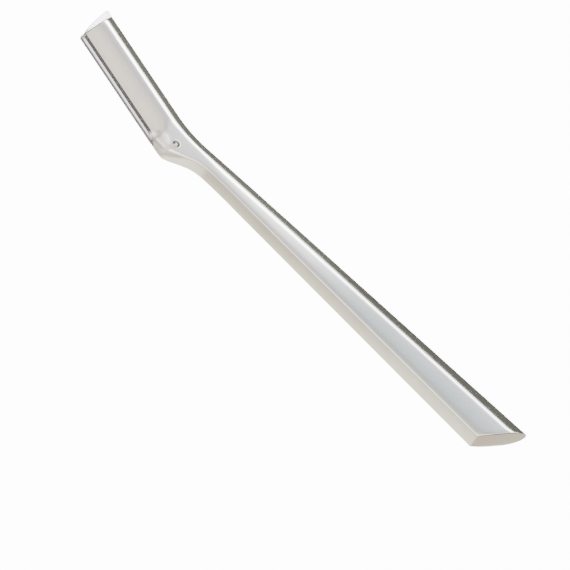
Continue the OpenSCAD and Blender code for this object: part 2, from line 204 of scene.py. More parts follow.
def add_lines(m):
    """Tables of places along the axis and values, which shape the body."""
    head, heel, run = -m.head_len, -RUNOUT_AT, -m.bend_run

    def neck_wall(step):
        """Where the wall lies on its way from the heel to the waist."""
        return (HEEL_TURN - m.heel_reach) * (1 - step) + m.waist_wall * step

    def even(head_to, first, taper, butt):
        """A table that keeps its first value up to a place, then leads to the taper and the butt."""
        return [(head, first), (head_to, first), (m.taper_at, taper), (m.handle_len, butt)]

    m.wall_line = [(head, -m.lip_reach), (heel, -m.lip_reach)]
    m.wall_line += [(-place, -m.lip_reach - step) for place, step in RUNOUT_STEPS]
    m.wall_line += [(-HEEL_AT, -m.heel_reach), (-HEEL_FULL_AT, -m.heel_reach), (0, neck_wall(0))]
    m.wall_line += [(m.waist_at * p, neck_wall(s)) for p, s in zip(NECK_PLACE_SHARES, NECK_STEP_SHARES)]
    m.wall_line += [(m.waist_at, m.waist_wall)]
    m.wall_line += [(m.taper_at + (m.handle_len - m.taper_at) * k,
                     (m.waist_wall - TAPER_STEP) * (1 - k) - m.butt_wall * k) for k in (0, TAPER_SHARE, 1)]
    m.spine_line = even(run, m.head_spine, m.neck_spine, m.butt_spine)
    m.thick_line = even(0, m.neck_thick, m.taper_thick, m.butt_thick)
    m.nose_line = even(run, m.head_nose, m.neck_nose, m.butt_nose)
    m.run_line = [(head, HEAD_FACE_RUN), *RUN_STEPS, (m.waist_at, RIDGE_RUN), (m.handle_len, RIDGE_RUN)]
    m.drop_line = [(head, m.lip_drop), *DROP_STEPS, (m.waist_at, RIDGE_DROP), (m.handle_len, RIDGE_DROP)]
    turns = [(head, HEAD_FACE_ANGLE), *ANGLE_STEPS, (m.handle_len, HEEL_FACE_ANGLE)]
    m.angle_line = [(place, math.radians(turn)) for place, turn in turns]
    m.ease_line = [(head, 1), *EASE_STEPS, (m.handle_len, 1)]
    leans = [(head, SPINE_TILT), *LEAN_STEPS, (m.taper_at, SPINE_TILT), (m.handle_len, SPINE_TILT)]
    m.lean_line = [(place, math.tan(math.radians(lean))) for place, lean in leans]
    m.foot_line = [(head, LIP_FOOT), (heel, LIP_FOOT), (-HEEL_AT, HEEL_FOOT), (m.waist_at, BUTT_FOOT),
                   (m.handle_len, BUTT_FOOT)]
    m.apex_line = even(heel, HEAD_APEX_SHARE, NECK_APEX_SHARE, BUTT_APEX_SHARE)
    m.belly_line = even(heel, 1, NECK_BELLY_SHARE, BUTT_BELLY_SHARE)
    lip_depth = (m.neck_thick - m.lip_drop) / m.neck_thick
    m.depth_line = [(head, lip_depth), (heel, lip_depth), (FULL_DEPTH_AT, 1), (m.handle_len, 1)]
    tilt = math.tan(math.radians(RIDGE_TILT))
    m.tilt_line = even(0, 0, tilt, tilt)
    m.bulge_line = even(0, 0, WALL_BULGE, WALL_BULGE)
    m.recede_line = [(head, LIP_LEAN), (heel, LIP_LEAN), (-HEEL_AT, 0), (m.handle_len, 0)]
    m.edge_line = [(head, HEAD_EDGE), *EDGE_STEPS, (m.taper_at, NECK_EDGE), (m.handle_len, BUTT_EDGE)]


def along(line, s):
    """Smooth reading of a table of places and values, which never swings past its own points."""
    place, value = np.array(line, float).T
    rise = np.diff(value) / np.diff(place)
    before, after = rise[:-1], rise[1:]
    same = before * after > 0
    turn = np.where(same, 2 * before * after / np.where(same, before + after, 1), 0)
    tangent = np.concatenate([rise[:1], turn, rise[-1:]])
    i = np.clip(np.searchsorted(place, s) - 1, 0, len(place) - 2)
    span = place[i + 1] - place[i]
    t = (s - place[i]) / span
    m0, m1 = tangent[i] * span, tangent[i + 1] * span
    v0, v1 = value[i], value[i + 1]
    inside = v0 + m0 * t + (3 * (v1 - v0) - 2 * m0 - m1) * t ** 2 + (m0 + m1 - 2 * (v1 - v0)) * t ** 3
    return np.where(t < 0, v0 + m0 * t, np.where(t > 1, v1 + m1 * (t - 1), inside))


# Steps round the section, how they crowd over the face, and the rings along the body: from, to and how many
FACE_STEPS, FLAT_STEPS, NOSE_STEPS, BACK_STEPS = 18, 18, 22, 16
STRIP_STEPS, BELLY_STEPS, FOOT_STEPS, WALL_STEPS = 3, 12, 12, 10
END_STEPS, FACE_SAMPLES, LEAN_ROUNDS = 5, 41, 4
FLAT_CROWDING = 1.4
TOE_RINGS, BUTT_RINGS = 6, 12
BODY_SPANS = ((-30, -13, 10), (-13, 2, 75), (2, 17, 50), (17, 86, 46))


def section(m, s):
    """Outline of the body square to its axis at each place s, as offsets to the spine and heights."""
    s = np.atleast_1d(np.asarray(s, float))
    wall, tip, thick = along(m.wall_line, s), along(m.spine_line, s), along(m.thick_line, s)
    nose, foot, run = along(m.nose_line, s), along(m.foot_line, s), along(m.run_line, s)
    drop, turn = along(m.drop_line, s), along(m.angle_line, s)
    floor_z, belly_z = -thick * along(m.depth_line, s), -thick * along(m.belly_line, s)
    apex = wall + (tip - wall) * along(m.apex_line, s)
    high, low = apex + m.back_flat / 2, apex - m.back_flat / 2
    half = thick * TIP_SHARE
    bulge, tilt, edge = along(m.bulge_line, s), along(m.tilt_line, s), along(m.edge_line, s)
    ease, lean = along(m.ease_line, s), along(m.lean_line, s)
    recede = along(m.recede_line, s)
    side = wall + bulge
    brow, run = side + recede, run - recede
    points = []
    steep = drop / (1 - np.cos(turn)) * np.sin(turn) / run
    last = np.arctan(tilt / steep)
    first = np.arcsin(half / (half + CROWN))
    flat_from = brow + run * (1 - np.sin(last) / np.sin(turn))
    flat_to = tip - nose + nose * np.cos(first)
    width, slope = flat_to - flat_from, (half + CROWN) / nose / np.tan(first)

    def face_z(x):
        """Height of the face at a share of its way to the spine."""
        near = np.maximum(0, 1 - (1 - x) * width / edge)
        lift = tilt * (1 - (1 - x) ** 3) / 3 - lean * x ** 2 / 2
        return width * lift - (slope - lean) * edge / 2 * near ** 2

    top = np.max([face_z(x) for x in np.linspace(0, 1, FACE_SAMPLES)], 0)
    for i in range(FACE_STEPS + 1):
        g = turn + (last - turn) * i / FACE_STEPS
        fall = drop * ((np.cos(last) - np.cos(g)) / (1 - np.cos(turn))) ** ease
        points.append((brow + run * (1 - np.sin(g) / np.sin(turn)), face_z(0) - top - fall))
    for i in range(1, FLAT_STEPS):
        x = 1 - (1 - i / FLAT_STEPS) ** FLAT_CROWDING
        points.append((flat_from + width * x, face_z(x) - top))
    press = (half + face_z(1) - top) / half
    for i in range(NOSE_STEPS + 1):
        g = first * (1 - i / NOSE_STEPS)
        points.append((tip - nose + nose * np.cos(g), -half + (half + CROWN) * np.sin(g) * press))
    for i in range(1, BACK_STEPS + 1):
        t = i / BACK_STEPS
        w = ((1 - t) ** 3, 3 * t * (1 - t) ** 2, 3 * t ** 2 * (1 - t), t ** 3)
        pull = high + (tip - high) * APEX_PULL_SHARE
        points.append((w[0] * tip + w[1] * tip + w[2] * pull + w[3] * high,
                       -w[0] * half - w[1] * thick * TIP_PULL_SHARE + (w[2] + w[3]) * belly_z))
    for i in range(1, STRIP_STEPS + 1):
        points.append((high + (low - high) * i / STRIP_STEPS, belly_z))
    for i in range(1, BELLY_STEPS + 1):
        t = i / BELLY_STEPS
        w = ((1 - t) ** 2, 2 * t * (1 - t), t ** 2)
        pull = side + foot + (low - side - foot) * WALL_PULL_SHARE
        points.append((w[0] * low + w[1] * pull + w[2] * (side + foot),
                       (w[0] + w[1]) * belly_z + w[2] * floor_z))
    for i in range(1, FOOT_STEPS + 1):
        g = math.pi / 2 * i / FOOT_STEPS
        points.append((side + foot * (1 - math.sin(g)), floor_z + foot * (1 - math.cos(g))))
    for i in range(1, WALL_STEPS):
        t = i / WALL_STEPS
        points.append((wall + bulge * (2 * t - 1) ** 2 + recede * max(0, 2 * t - 1),
                       (floor_z + foot) * (1 - t) + points[0][1] * t))
    return np.stack([np.stack(p, -1) for p in points], 1)


def placed(m, s, p):
    """Points p, as offsets and heights, set square to the bent axis at their places s."""
    run = m.bend_run
    turn = m.bend * (np.clip(s, -run, run) - run) / (2 * run)
    x = np.where(abs(s) < run, run + m.bend_r * np.sin(turn), s * np.cos(turn))
    y = np.where(abs(s) < run, m.bend_r - m.bend_r * np.cos(turn), s * np.sin(turn))
    return np.stack([x - p[:, 0] * np.sin(turn), y + p[:, 0] * np.cos(turn), p[:, 1]], -1)


def ring(m, s, toe=0.0, butt=0.0):
    """One outline of the body at s, leaned towards the slanted toe or the oblique butt by those shares."""
    count = section(m, s).shape[1]
    at = np.full(count, float(s))
    pick = np.arange(count)
    for _ in range(LEAN_ROUNDS):
        outline = section(m, at)[pick, pick]
        at = s - toe * outline[:, 0] * m.slant + butt * (outline[:, 0] - m.butt_spine) * m.cut
    return placed(m, at, section(m, at)[pick, pick])


# Cartridge and detent: shares, small sizes in millimetres, and angles

LIP_WALL = 1.2
POCKET_HIGH = 2
POCKET_END = -2.6
TONGUE_W = 2
TONGUE_END = 1.2
TONGUE_RISE_SHARE = 0.15
CAP_ROOT = 0.4
CAP_APEX_SHARE = 0.88
CAP_LEAN = math.radians(17)
CAP_GAP = 0.05
CAP_LIP_POWER = 1.12
CAP_ROUND_POWER = 4.5
CAP_DEEP_POWER = 3
CAP_TIP = 0.0001
CAP_STEPS = 40
BLADE_HEEL_AT = 2.75
BLADE_BACK = 0.45
PIN_COUNT = 3
PLUG_TOP = -0.1
PLUG_THICK = 0.5
PLUG_EDGE = 0.04
DOME_TOP, DOME_R, DOME_D = -0.01, 1.0, 1.64
DOME_STEPS = 24
RING_D, RING_TOP, RING_FALL = 2.5, -0.006, 0.01
BALL_BITE = 0.25
BALL_GAP = 0.05
SEAT_ANGLE = math.radians(25)
GROOVE_GAP = 0.03


def add_fits(m):
    """Sizes and places that follow from how the pieces fit each other."""
    m.slot_thick = m.blade_thick + 2 * m.slide_gap
    m.pocket_thick = m.rail_thick + 2 * m.slide_gap
    m.rail_low = m.mid_z - m.rail_thick / 2
    m.pocket_low = -m.lip_reach + LIP_WALL
    m.tongue_top = m.mid_z + TONGUE_RISE_SHARE * m.rail_thick / 2
    m.blade_edge = -m.lip_reach - m.blade_reach
    m.blade_toe = -BLADE_HEEL_AT - m.blade_len
    m.pin_y = (m.pocket_low + BLADE_BACK) / 2
    m.plug_seat = PLUG_TOP - PLUG_THICK
    m.ball_r = m.ball_d / 2
    m.ball_z = m.tongue_top - BALL_BITE + m.ball_r
    m.bore_r = m.ball_r + BALL_GAP
    m.seat_r = (m.ball_r + FIXED_GAP) / math.cos(SEAT_ANGLE)
    m.seat_top = m.ball_z - (m.seat_r - m.bore_r) / math.tan(SEAT_ANGLE)


# Meshes

def origin(m):
    """Where the detent's centre on the front plane lies in the row frame."""
    low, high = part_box("detent_plug")
    return Vector(((low.x + high.x) / 2, (low.y + high.y) / 2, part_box("handle")[1].z))


def in_head(m):
    """From the head's own axis to the razor's."""
    return Matrix.Rotation(-m.bend, 4, "Z")


def at_toe(m):
    """From the head's slanted end to the razor's."""
    return in_head(m) @ Matrix.Translation((-m.head_len, 0, 0)) @ Matrix.Rotation(m.toe_slant, 4, "Z")


def linked(name, data):
    """An object of the scene with this data."""
    made = bpy.data.objects.new(name, data)
    bpy.context.scene.collection.objects.link(made)
    return made


def solid(name, m, points, faces, matrix=Matrix()):
    """A mesh object from points in millimetres, placed in the row frame."""
    move = Matrix.Translation(origin(m)) @ Matrix.Scale(MM, 4) @ matrix
    mesh = bpy.data.meshes.new(name)
    mesh.from_pydata([move @ Vector(p) for p in points], [], faces)
    bm = bmesh.new()
    bm.from_mesh(mesh)
    bmesh.ops.recalc_face_normals(bm, faces=bm.faces)
    bm.to_mesh(mesh)
    bm.free()
    return linked(name, mesh)


def lofted(name, m, rings, matrix=Matrix()):
    """A closed body through rings with as many points each."""
    n = len(rings[0])
    faces = [list(range(n)), [(len(rings) - 1) * n + j for j in range(n)]]
    for i in range(len(rings) - 1):
        for j in range(n):
            a, b = i * n + j, i * n + (j + 1) % n
            faces.append([a, b, b + n, a + n])
    return solid(name, m, np.concatenate(rings), faces, matrix)


def block(name, m, low, high, matrix=Matrix()):
    """A cutter between two corners."""
    outline = [(low[1], low[2]), (high[1], low[2]), (high[1], high[2]), (low[1], high[2])]
    return lofted(name, m, [[(x, y, z) for y, z in outline] for x in (low[0], high[0])], matrix)


def turned(name, m, profile, centre=(0, 0, 0), steps=96):
    """A closed body turned round an upright axis from radii and heights."""
    rings = [[(centre[0] + r * math.cos(g), centre[1] + r * math.sin(g), centre[2] + z)
              for g in np.arange(steps) * 2 * math.pi / steps] for r, z in profile]
    return lofted(name, m, rings)


def joined_by(piece, other, operation):
    """Adds other to piece, or cuts it from it, and clears other away."""
    change = piece.modifiers.new("shape", "BOOLEAN")
    change.object = other
    change.operation = operation
    change.solver = "EXACT"
    graph = bpy.context.evaluated_depsgraph_get()
    mesh = bpy.data.meshes.new_from_object(piece.evaluated_get(graph))
    if not mesh.polygons:
        raise RuntimeError(f"{piece.name} came out empty")
    piece.modifiers.clear()
    piece.data = mesh
    bpy.data.objects.remove(other)


def shaded(piece, degrees):
    """Smooth shading, with edges sharper than the angle kept crisp."""
    bm = bmesh.new()
    bm.from_mesh(piece.data)
    bmesh.ops.dissolve_degenerate(bm, dist=MM * MM, edges=bm.edges)
    for f in bm.faces:
        f.smooth = True
    for e in bm.edges:
        e.smooth = e.calc_face_angle(0) < math.radians(degrees)
    bm.to_mesh(piece.data)
    bm.free()


def finished(piece, body, material, slot, *nodes):
    """Gives a piece its material, and sets it on its body in place of its nodes. The slot is not used."""
    piece.data.materials.clear()
    piece.data.materials.append(bpy.data.materials[material])
    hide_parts(*nodes)
    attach(piece, body)


# Finish: distances are in millimetres

# How near the detent the brushing turns, how coarse its streaks are beside its lines, and how deep it is
TURN_WIDTH = 4
STREAK_SHARE = 0.12
BRUSH_RELIEF = 0.02

# Where in the cloud smudges start and are full, then the turns and scales of the scratches, their width and
# how they are drawn out
SMUDGE_RANGE = (0.35, 0.7)
SCRATCHES = ((0.5, 900.0), (2.2, 700.0))
SCRATCH_WIDTH, SCRATCH_STRETCH = 0.02, 0.05

# How wide the blade is ground, over what width that fades, how dark its colour is painted there as shade,
# and how much rougher it is
GROUND_W, GROUND_FADE, GROUND_PAINTED_SHADE, GROUND_ROUGH = 0.6, 0.12, 0.18, 0.15

# The heel's duller spot: its place from the detent, where it is full and where it ends, and how much
# rougher it is
HEEL_SPOT, HEEL_FADE, HEEL_DULL = (-3.7, -2.3, -0.6), (1.6, 3.5), 0.3

# The plastic: how it bends, shines and passes light, its flow marks, and its rim painted darker as shade
PLASTIC_IOR, PLASTIC_SHINE, PLASTIC_CLEAR = 1.49, 0.25, 0.75
FLOW_SCALE, FLOW_ROUGH, FLOW_SHADE = 0.35, (0.18, 0.34), 0.92
FLOW_STRENGTH, FLOW_RELIEF = 0.15, 0.05
PAINTED_RIM_BLEND, RIM_PAINTED_SHADE = 0.35, 0.35


# Shader nodes

def feed(made, inputs):
    """Gives a node's inputs their values or links."""
    for label, value in inputs.items():
        if isinstance(value, bpy.types.NodeSocket):
            made.id_data.links.new(value, made.inputs[label])
        else:
            made.inputs[label].default_value = value


def node(tree, kind, inputs=None, **settings):
    """Adds a shader node, with its settings and its inputs' values or links."""
    made = tree.nodes.new("ShaderNode" + kind)
    for key, value in settings.items():
        setattr(made, key, value)
    feed(made, inputs or {})
    return made


def place_of(tree):
    """The place on a piece, in the razor's own frame."""
    return node(tree, "TexCoord").outputs["Object"]


def ranged(tree, value, low, high, to_low=0.0, to_high=1.0, smooth=False):
    """A value carried from one range to another."""
    kind = "SMOOTHSTEP" if smooth else "LINEAR"
    return node(tree, "MapRange", {"Value": value, "From Min": low, "From Max": high, "To Min": to_low,
                                   "To Max": to_high}, interpolation_type=kind).outputs[0]


def noise(tree, place, scale, **settings):
    """Cloudy noise at a scale, with its detail, roughness and distortion."""
    inputs = {label.capitalize(): value for label, value in settings.items()}
    return node(tree, "TexNoise", {"Vector": place, "Scale": scale, **inputs}).outputs["Fac"]


def maths(tree, operation, a, b=0.0, clamp=False):
    """One sum of two values."""
    return node(tree, "Math", {0: a, 1: b}, operation=operation, use_clamp=clamp).outputs[0]


def band_ramp(tree, place, bands):
    """Light read from rows of degrees and a colour, a grey, or nothing where the light stays the same."""
    ramp = node(tree, "ValToRGB", {"Fac": place})
    stops = ramp.color_ramp.elements
    colour = []
    for k, (degrees, *light) in enumerate(bands):
        place_there = degrees / 360 + 0.5
        stop = stops[k] if k < 2 else stops.new(place_there)
        stop.position = place_there
        colour = light or colour
        # A grey counts for red, green and blue
        stop.color = (*(colour * 3)[:3], 1)
    return ramp.outputs["Color"]


def blended(tree, factor, a, b, how="MIX"):
    """One colour turning into another, or multiplied by it."""
    return node(tree, "Mix", {"Factor": factor, "A": a, "B": b}, data_type="RGBA",
                blend_type=how).outputs["Result"]


def new_group(name, inputs, outputs):
    """An empty shader group with value sockets."""
    tree = bpy.data.node_groups.new(name, "ShaderNodeTree")
    for label, default in inputs.items():
        socket = tree.interface.new_socket(label, in_out="INPUT", socket_type="NodeSocketFloat")
        socket.default_value = default
    for label in outputs:
        tree.interface.new_socket(label, in_out="OUTPUT", socket_type="NodeSocketFloat")
    return tree, tree.nodes.new("NodeGroupInput"), tree.nodes.new("NodeGroupOutput")


def brushed_lines():
    """Fine lines along the handle, which turn with the head."""
    tree, given, out = new_group("Brushed Lines", {"Fineness": 9.0, "Stretch": 40.0}, ["Lines", "Streaks"])
    place = place_of(tree)
    detent = tuple(origin(measures()))
    sides = []
    for turn in (0.0, measures().bend):
        spin = node(tree, "VectorRotate", {"Vector": place, "Center": detent, "Angle": turn},
                    rotation_type="Z_AXIS").outputs[0]
        squeeze = maths(tree, "DIVIDE", 1.0, given.outputs["Stretch"])
        scale = node(tree, "CombineXYZ", {"X": squeeze, "Y": 1.0, "Z": 1.0}).outputs[0]
        sides.append(node(tree, "VectorMath", {0: spin, 1: scale}, operation="MULTIPLY").outputs[0])
    x = node(tree, "SeparateXYZ", {0: place}).outputs["X"]
    head = ranged(tree, x, detent[0] + TURN_WIDTH * MM, detent[0] - TURN_WIDTH * MM)
    fine = maths(tree, "DIVIDE", given.outputs["Fineness"], MM)
    for label, share_of in (("Lines", 1.0), ("Streaks", STREAK_SHARE)):
        scale = maths(tree, "MULTIPLY", fine, share_of)
        both = [noise(tree, run, scale, detail=4.0, roughness=0.6) for run in sides]
        mixed = node(tree, "Mix", {"Factor": head, "A": both[0], "B": both[1]}).outputs[0]
        feed(out, {label: mixed})
    return tree


def handling_marks():
    """Soft smudges and a few hair scratches."""
    tree, given, out = new_group("Handling Marks", {"Size": 5.0, "Scratches": 0.3},
                                 ["Smudges", "Scratches"])
    place = place_of(tree)
    scale = maths(tree, "DIVIDE", 1.0 / MM, given.outputs["Size"])
    cloud = noise(tree, place, scale, detail=3.0, distortion=0.6)
    soft = ranged(tree, cloud, *SMUDGE_RANGE, smooth=True)
    hairs = []
    for turn, size in SCRATCHES:
        spin = node(tree, "VectorRotate", {"Vector": place, "Angle": turn},
                    rotation_type="Z_AXIS").outputs[0]
        run = node(tree, "VectorMath", {0: spin, 1: (SCRATCH_STRETCH, 1.0, 1.0)},
                   operation="MULTIPLY").outputs[0]
        hair = node(tree, "TexVoronoi", {"Vector": run, "Scale": size},
                    feature="DISTANCE_TO_EDGE").outputs["Distance"]
        hairs.append(ranged(tree, hair, 0.0, SCRATCH_WIDTH, 1.0, 0.0))
    most = maths(tree, "MAXIMUM", hairs[0], hairs[1])
    broken = maths(tree, "MULTIPLY", most, soft)
    feed(out, {"Smudges": soft, "Scratches": maths(tree, "MULTIPLY", broken, given.outputs["Scratches"])})
    return tree


def new_material(name, tint_rgb, roughness, metallic=0.0):
    """A material with its main shader, ready for its own nodes."""
    material = bpy.data.materials.new(name)
    material.use_nodes = True
    tree = material.node_tree
    shader = tree.nodes["Principled BSDF"]
    feed(shader, {"Base Color": (*tint_rgb, 1), "Metallic": metallic, "Roughness": roughness})
    return tree, shader


def steel(name, tint_rgb, roughness, fineness=6.0, depth=0.05, smudge=0.06, spread=0.025):
    """Steel with brushed lines, soft smudges and hair scratches."""
    tree, shader = new_material(name, tint_rgb, roughness, metallic=1.0)
    lines = node(tree, "Group", {"Fineness": fineness}, node_tree=bpy.data.node_groups["Brushed Lines"])
    marks = node(tree, "Group", node_tree=bpy.data.node_groups["Handling Marks"])
    dull = ranged(tree, marks.outputs["Smudges"], 0.0, 1.0, 1.0, 1.0 - smudge)
    feed(shader, {"Base Color": blended(tree, 1.0, (*tint_rgb, 1), dull, "MULTIPLY")})
    grain = maths(tree, "MULTIPLY", maths(tree, "SUBTRACT", lines.outputs["Streaks"], 0.5), 2 * spread)
    cloud = maths(tree, "MULTIPLY", marks.outputs["Smudges"], spread / 2)
    worn = maths(tree, "ADD", grain, cloud)
    feed(shader, {"Roughness": maths(tree, "ADD", worn, roughness, clamp=True)})
    height = maths(tree, "SUBTRACT", lines.outputs["Lines"], marks.outputs["Scratches"])
    bump = node(tree, "Bump", {"Height": height, "Strength": depth, "Distance": BRUSH_RELIEF * MM})
    feed(shader, {"Normal": bump.outputs[0]})
    return tree, shader


def rougher(tree, shader, mask, amount):
    """Adds roughness where a mask is white."""
    plain = shader.inputs["Roughness"].links[0].from_socket
    feed(shader, {"Roughness": maths(tree, "ADD", plain, maths(tree, "MULTIPLY", mask, amount))})


# Operators

class RAZOR_OT_materials(bpy.types.Operator):
    """Make the razor's steels and its translucent plastic"""
    bl_idname = "razor.materials"
    bl_label = "Materials"

    def execute(self, context):
        finish = context.scene.razor_finish
        brushed_lines()
        handling_marks()
        self.body(finish.body_tint, finish.body_rough, finish.brush_depth)
        steel("bright_steel", finish.plug_tint, roughness=0.08, fineness=12.0, depth=0.02, spread=0.02)
        steel("spring_wire", finish.spring_tint, roughness=0.3, fineness=20.0)
        steel("pin_wire", finish.pin_tint, roughness=0.22, fineness=16.0)
        self.blade(finish.blade_tint)
        self.plastic(finish.plastic_tint)
        return {"FINISHED"}

    def body(self, tint_rgb, roughness, depth):
        """Brushed steel, duller at the blade-side heel."""
        tree, shader = steel("handle_steel", tint_rgb, roughness, depth=depth)
        heel = tuple(origin(measures()) + Vector(HEEL_SPOT) * MM)
        away = node(tree, "VectorMath", {0: place_of(tree), 1: heel},
                    operation="DISTANCE").outputs["Value"]
        dull = ranged(tree, away, HEEL_FADE[1] * MM, HEEL_FADE[0] * MM, smooth=True)
        rougher(tree, shader, dull, HEEL_DULL)

    def blade(self, tint_rgb):
        """Bright rolled strip, rougher where its edge is ground, with painted shade darkening its colour
        there for the edge's dark reflection.
        """
        tree, shader = steel("blade_strip", tint_rgb, roughness=0.1, fineness=14.0, depth=0.03,
                             smudge=0.04, spread=0.03)
        m = measures()
        apart = node(tree, "VectorMath", {0: place_of(tree), 1: tuple(origin(m))},
                     operation="SUBTRACT").outputs[0]
        across = node(tree, "VectorMath", {0: apart, 1: (math.sin(m.bend), math.cos(m.bend), 0)},
                      operation="DOT_PRODUCT").outputs["Value"]
        ground_to = m.blade_edge + GROUND_W
        ground = ranged(tree, across, (ground_to + GROUND_FADE) * MM, ground_to * MM)
        plain = shader.inputs["Base Color"].links[0].from_socket
        # Painted shade: the ground edge's colour is darkened to stand in for its dark reflection; its added
        # roughness is the real grinding
        dark = tuple(c * GROUND_PAINTED_SHADE for c in tint_rgb)
        feed(shader, {"Base Color": blended(tree, ground, plain, (*dark, 1))})
        rougher(tree, shader, ground, GROUND_ROUGH)

    def plastic(self, tint_rgb):
        """Translucent moulded plastic with faint flow marks, and painted shade darkening its rim where it
        turns from the camera.
        """
        tree, shader = new_material("clear_moulding", tint_rgb, roughness=0.24)
        flow = noise(tree, place_of(tree), FLOW_SCALE / MM, detail=3.0, distortion=1.2)
        feed(shader, {"IOR": PLASTIC_IOR, "Specular IOR Level": PLASTIC_SHINE,
                      "Transmission Weight": PLASTIC_CLEAR,
                      "Roughness": ranged(tree, flow, 0.0, 1.0, *FLOW_ROUGH)})
        shade = blended(tree, flow, (*tint_rgb, 1), (*(c * FLOW_SHADE for c in tint_rgb), 1))
        # Painted shade: the colour darkens towards the rim as the surface turns away from the camera
        turned_off = node(tree, "LayerWeight", {"Blend": PAINTED_RIM_BLEND}).outputs["Facing"]
        rim = (*(c * RIM_PAINTED_SHADE for c in tint_rgb), 1)
        feed(shader, {"Base Color": blended(tree, turned_off, shade, rim)})
        bump = node(tree, "Bump", {"Height": flow, "Strength": FLOW_STRENGTH,
                                   "Distance": FLOW_RELIEF * MM})
        feed(shader, {"Normal": bump.outputs[0]})


class RAZOR_OT_handle(bpy.types.Operator):
    """Loft the bent, tapering body and cut its slot, channel and detent bore"""
    bl_idname = "razor.handle"
    bl_label = "Handle"

    def execute(self, context):
        m = measures()
        rings = self.rings(m)
        toe = self.rounded_end(m, rings[0], (math.cos(m.bend), -math.sin(m.bend), 0), m.toe_slant)
        butt = self.rounded_end(m, rings[-1], (-1, 0, 0), m.butt_cut_angle)
        piece = lofted("handle_body", m, toe[::-1] + rings[1:-1] + butt)
        self.cut_cartridge_space(m, piece)
        self.cut_detent_space(m, piece)
        shaded(piece, degrees=20)
        finished(piece, "body", "handle_steel", "brushed_body", "handle")
        return {"FINISHED"}

    def rings(self, m):
        """Outlines from the slanted toe, through the close-set neck, to the oblique butt."""
        toe_to, butt_from = BODY_SPANS[0][0], BODY_SPANS[-1][1]
        rings = [ring(m, -m.head_len + (m.head_len + toe_to) * k / TOE_RINGS, toe=1 - k / TOE_RINGS)
                 for k in range(TOE_RINGS)]
        for start, stop, steps in BODY_SPANS:
            rings += [ring(m, start + (stop - start) * k / steps) for k in range(steps)]
        butt = m.handle_len - butt_from
        return rings + [ring(m, butt_from + butt * k / BUTT_RINGS, butt=k / BUTT_RINGS)
                        for k in range(BUTT_RINGS + 1)]

    def rounded_end(self, m, outline, inward, slant):
        """Outlines that round an end over, from just inside the body out to its flat face."""
        to_middle = outline.mean(0) - outline
        to_middle /= np.linalg.norm(to_middle, axis=1)[:, None]
        turns = [math.pi / 2 * k / END_STEPS for k in range(END_STEPS + 1)]
        return [outline + to_middle * m.end_round * (1 - math.cos(g))
                + np.array(inward) * m.end_round * (1 - math.sin(g)) / math.cos(slant) for g in turns]

    def cut_cartridge_space(self, m, piece):
        """Cuts the space of the rail, the slot that the blade stands out of, and the channel."""
        head = in_head(m)
        far, slot, pocket = -m.head_len - OVERRUN, m.slot_thick / 2, m.pocket_thick / 2
        outline = [(m.pocket_low, m.mid_z - pocket), (POCKET_HIGH, m.mid_z - pocket),
                   (POCKET_HIGH, m.mid_z + pocket), (m.pocket_low, m.mid_z + pocket),
                   (m.pocket_low, m.mid_z + slot), (-m.heel_reach - OVERRUN, m.mid_z + slot),
                   (-m.heel_reach - OVERRUN, m.mid_z - slot), (m.pocket_low, m.mid_z - slot)]
        space = lofted("space", m, [[(x, y, z) for y, z in outline] for x in (far, POCKET_END)], head)
        joined_by(piece, space, "DIFFERENCE")
        gap = m.slide_gap
        channel = block("channel", m, (POCKET_END - OVERRUN, -TONGUE_W / 2 - gap, m.rail_low - gap),
                        (TONGUE_END + gap, TONGUE_W / 2 + gap, m.tongue_top + gap), head)
        joined_by(piece, channel, "DIFFERENCE")

    def cut_detent_space(self, m, piece):
        """Cuts the countersink, the plug's seat, the spring's bore and the ball's narrowing seat."""
        ring_r, plug_r = RING_D / 2, m.plug_d / 2 + FIXED_GAP
        foot_r = m.seat_r - (m.ball_z - m.tongue_top) * math.tan(SEAT_ANGLE)
        profile = [(ring_r, CROWN), (ring_r, RING_TOP - RING_FALL), (plug_r, RING_TOP),
                   (plug_r, m.plug_seat), (m.bore_r, m.plug_seat), (m.bore_r, m.seat_top),
                   (foot_r, m.tongue_top)]
        joined_by(piece, turned("bore", m, profile), "DIFFERENCE")


class RAZOR_OT_detent(bpy.types.Operator):
    """Turn the domed plug, and finish the ball and the spring under it"""
    bl_idname = "razor.detent"
    bl_label = "Detent"

    def execute(self, context):
        m = measures()
        plug_r, edge, dome_r = m.plug_d / 2, PLUG_EDGE, DOME_D / 2
        dome = [(r, DOME_TOP - DOME_R + math.sqrt(DOME_R ** 2 - r ** 2))
                for r in (dome_r * (1 - k / DOME_STEPS) for k in range(DOME_STEPS))]
        profile = [(plug_r - edge, m.plug_seat), (plug_r, m.plug_seat + edge), (plug_r, RING_TOP - edge),
                   (plug_r - edge, RING_TOP - edge / 4), (dome_r + edge, dome[0][1]), *dome]
        piece = turned("domed_plug", m, profile)
        shaded(piece, degrees=25)
        finished(piece, "body", "bright_steel", "polished_steel", "detent_plug")
        for name, material in (("detent_ball", "bright_steel"), ("detent_spring", "spring_wire")):
            dress(name, material)
        return {"FINISHED"}


def dress(name, material, degrees=30):
    """Gives a kept node a material, with smooth shading away from edges sharper than the angle."""
    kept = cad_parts[name]
    kept.data.materials.clear()
    kept.data.materials.append(bpy.data.materials[material])
    kept.data.polygons.foreach_set("use_smooth", [True] * len(kept.data.polygons))
    kept.data.set_sharp_from_angle(angle=math.radians(degrees))


class RAZOR_OT_blade(bpy.types.Operator):
    """Finish the ground blade"""
    bl_idname = "razor.blade"
    bl_label = "Blade"

    def execute(self, context):
        dress("blade", "blade_strip", degrees=3)
        return {"FINISHED"}


